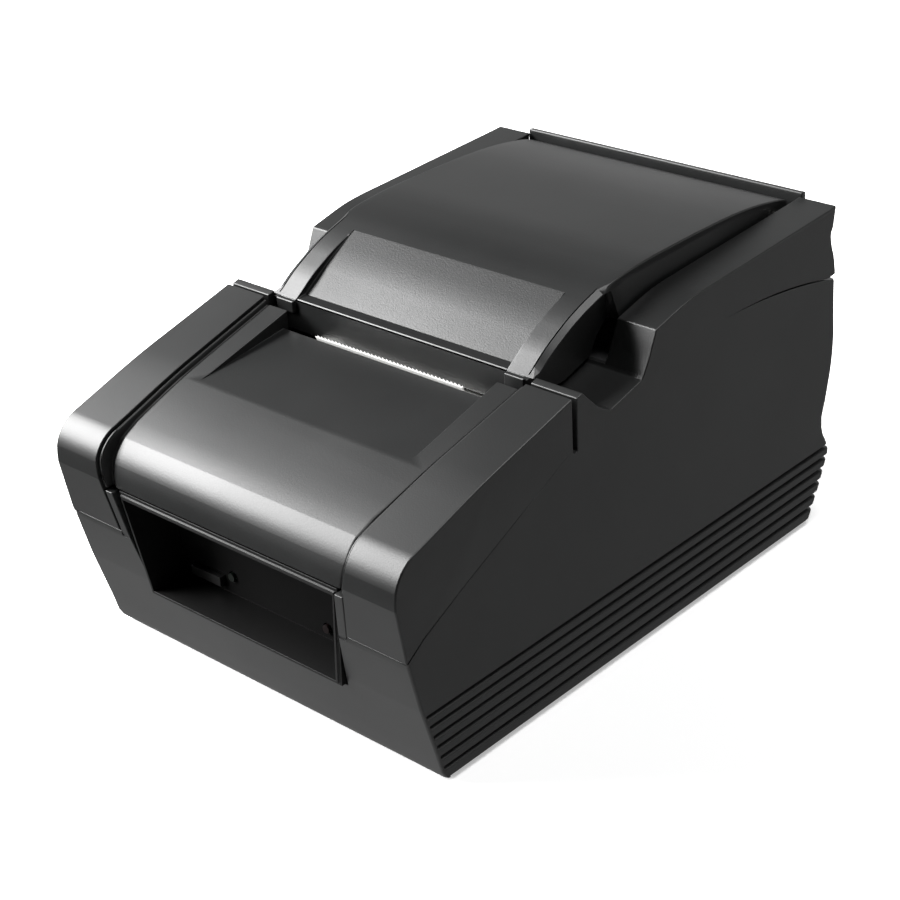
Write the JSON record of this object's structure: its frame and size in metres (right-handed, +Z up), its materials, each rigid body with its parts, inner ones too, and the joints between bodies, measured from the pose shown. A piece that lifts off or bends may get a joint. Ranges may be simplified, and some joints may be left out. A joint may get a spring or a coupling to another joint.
{
  "type": "receipt printer",
  "caption": "Small desktop thermal receipt printer with a hinged lid, platen and gear train, print head, paper roll, feed key, power switch and rear sockets.",
  "frame": {"origin": "middle of the bounding box, on the surface the printer stands on", "axes": "+X to the printer's right seen from its front, +Y from the front to the rear, +Z up"},
  "size_m": [0.134, 0.2013, 0.1098],
  "materials": {
    "black_abs": "fine-textured black moulding",
    "bay_abs": "matt black moulding",
    "inner_abs": "matt black moulding",
    "rubber": "plain black rubber",
    "steel": "plain",
    "motor_steel": "zinc plated",
    "gear_pom": "natural white moulding",
    "cable_film": "flat cable film",
    "zinc_plate": "zinc plated sheet",
    "head_ceramic": null,
    "aluminium": "plain",
    "paper": null,
    "card_core": null,
    "board_green": "coated glass fibre board",
    "rocker_plastic": "semi-gloss black",
    "button_plastic": "dark grey moulding",
    "lens_green": "clear green, drawn solid",
    "lens_red": "clear red, drawn solid",
    "screw_steel": "zinc plated"
  },
  "bodies": {
    "housing": {"base": "black_abs", "upper_housing": "black_abs", "front_cover": "black_abs", "centre_panel": "black_abs", "bay_liner": "bay_abs", "roll_bin": "inner_abs", "paper_sensor": "inner_abs", "power_jack": "inner_abs", "drawer_jack": "inner_abs", "switch_bezel": "inner_abs", "feed_switch": "inner_abs", "foot_front_left": "rubber", "foot_rear_left": "rubber", "foot_front_right": "rubber", "foot_rear_right": "rubber", "hinge_pin_left": "steel", "hinge_pin_right": "steel", "idler_axle": "steel", "idler_clip": "steel", "usb_socket": "steel", "motor": "motor_steel", "head_cable": "cable_film", "mechanism_frame": "zinc_plate", "paper_web": "paper", "main_board": "board_green", "control_board": "board_green", "power_lens": "lens_green", "error_lens": "lens_red", "frame_screw_front": "screw_steel", "frame_screw_rear": "screw_steel", "motor_screw_front": "screw_steel", "motor_screw_rear": "screw_steel", "board_screw_front_left": "screw_steel", "board_screw_front_right": "screw_steel", "board_screw_rear_left": "screw_steel", "board_screw_rear_right": "screw_steel", "case_screw_front_left": "screw_steel", "case_screw_front_right": "screw_steel", "case_screw_rear_left": "screw_steel", "case_screw_rear_right": "screw_steel"},
    "lid": {"lid": "black_abs", "tear_bar": "steel", "platen_bush_left": "gear_pom", "platen_bush_right": "gear_pom"},
    "platen": {"platen_sleeve": "rubber", "platen_shaft": "steel", "platen_gear": "gear_pom"},
    "idler": {"idler_gear": "gear_pom"},
    "motor_rotor": {"motor_shaft": "steel", "motor_pinion": "gear_pom"},
    "paper_supply": {"paper_roll": "paper", "roll_core": "card_core"},
    "head": {"print_head": "head_ceramic", "head_heat_sink": "aluminium", "head_spring_left": "steel", "head_spring_right": "steel"},
    "feed_key": {"feed_button": "button_plastic"},
    "power_key": {"switch_rocker": "rocker_plastic"}
  },
  "joints": [
    {"name": "lid_hinge", "type": "hinge", "parent": "housing", "child": "lid", "pos_m": [0, 0.0918, 0.1013], "axis": [-1, 0, 0], "range_deg": [0, 80]},
    {"name": "platen_spin", "type": "hinge", "parent": "lid", "child": "platen", "pos_m": [0, -0.0212, 0.0745], "axis": [1, 0, 0], "continuous": true},
    {"name": "idler_spin", "type": "hinge", "parent": "housing", "child": "idler", "pos_m": [0.035, -0.01781, 0.0602], "axis": [1, 0, 0], "continuous": true},
    {"name": "motor_spin", "type": "hinge", "parent": "housing", "child": "motor_rotor", "pos_m": [0.035, -0.01967, 0.04844], "axis": [1, 0, 0], "continuous": true},
    {"name": "roll_spin", "type": "hinge", "parent": "housing", "child": "paper_supply", "pos_m": [0, 0.0358, 0.0592], "axis": [1, 0, 0], "continuous": true},
    {"name": "head_pivot", "type": "hinge", "parent": "housing", "child": "head", "pos_m": [0, -0.0278, 0.06225], "axis": [1, 0, 0], "range_deg": [0, 1.5], "stiffness_Nm_per_rad": 0.3, "springref_deg": -0.57},
    {"name": "feed_press", "type": "slide", "parent": "housing", "child": "feed_key", "axis": [0, 1, 0], "range_m": [0, 0.0005], "stiffness_N_per_m": 400, "springref_m": -0.0005},
    {"name": "power_rock", "type": "hinge", "parent": "housing", "child": "power_key", "pos_m": [0.033, 0.0885, 0.0173], "axis": [0, 0, 1], "range_deg": [0, 14]}
  ],
  "couplings": [
    {"joint": "idler_spin", "follows": "platen_spin", "ratio": -0.90909},
    {"joint": "motor_spin", "follows": "platen_spin", "ratio": 1.6667}
  ]
}
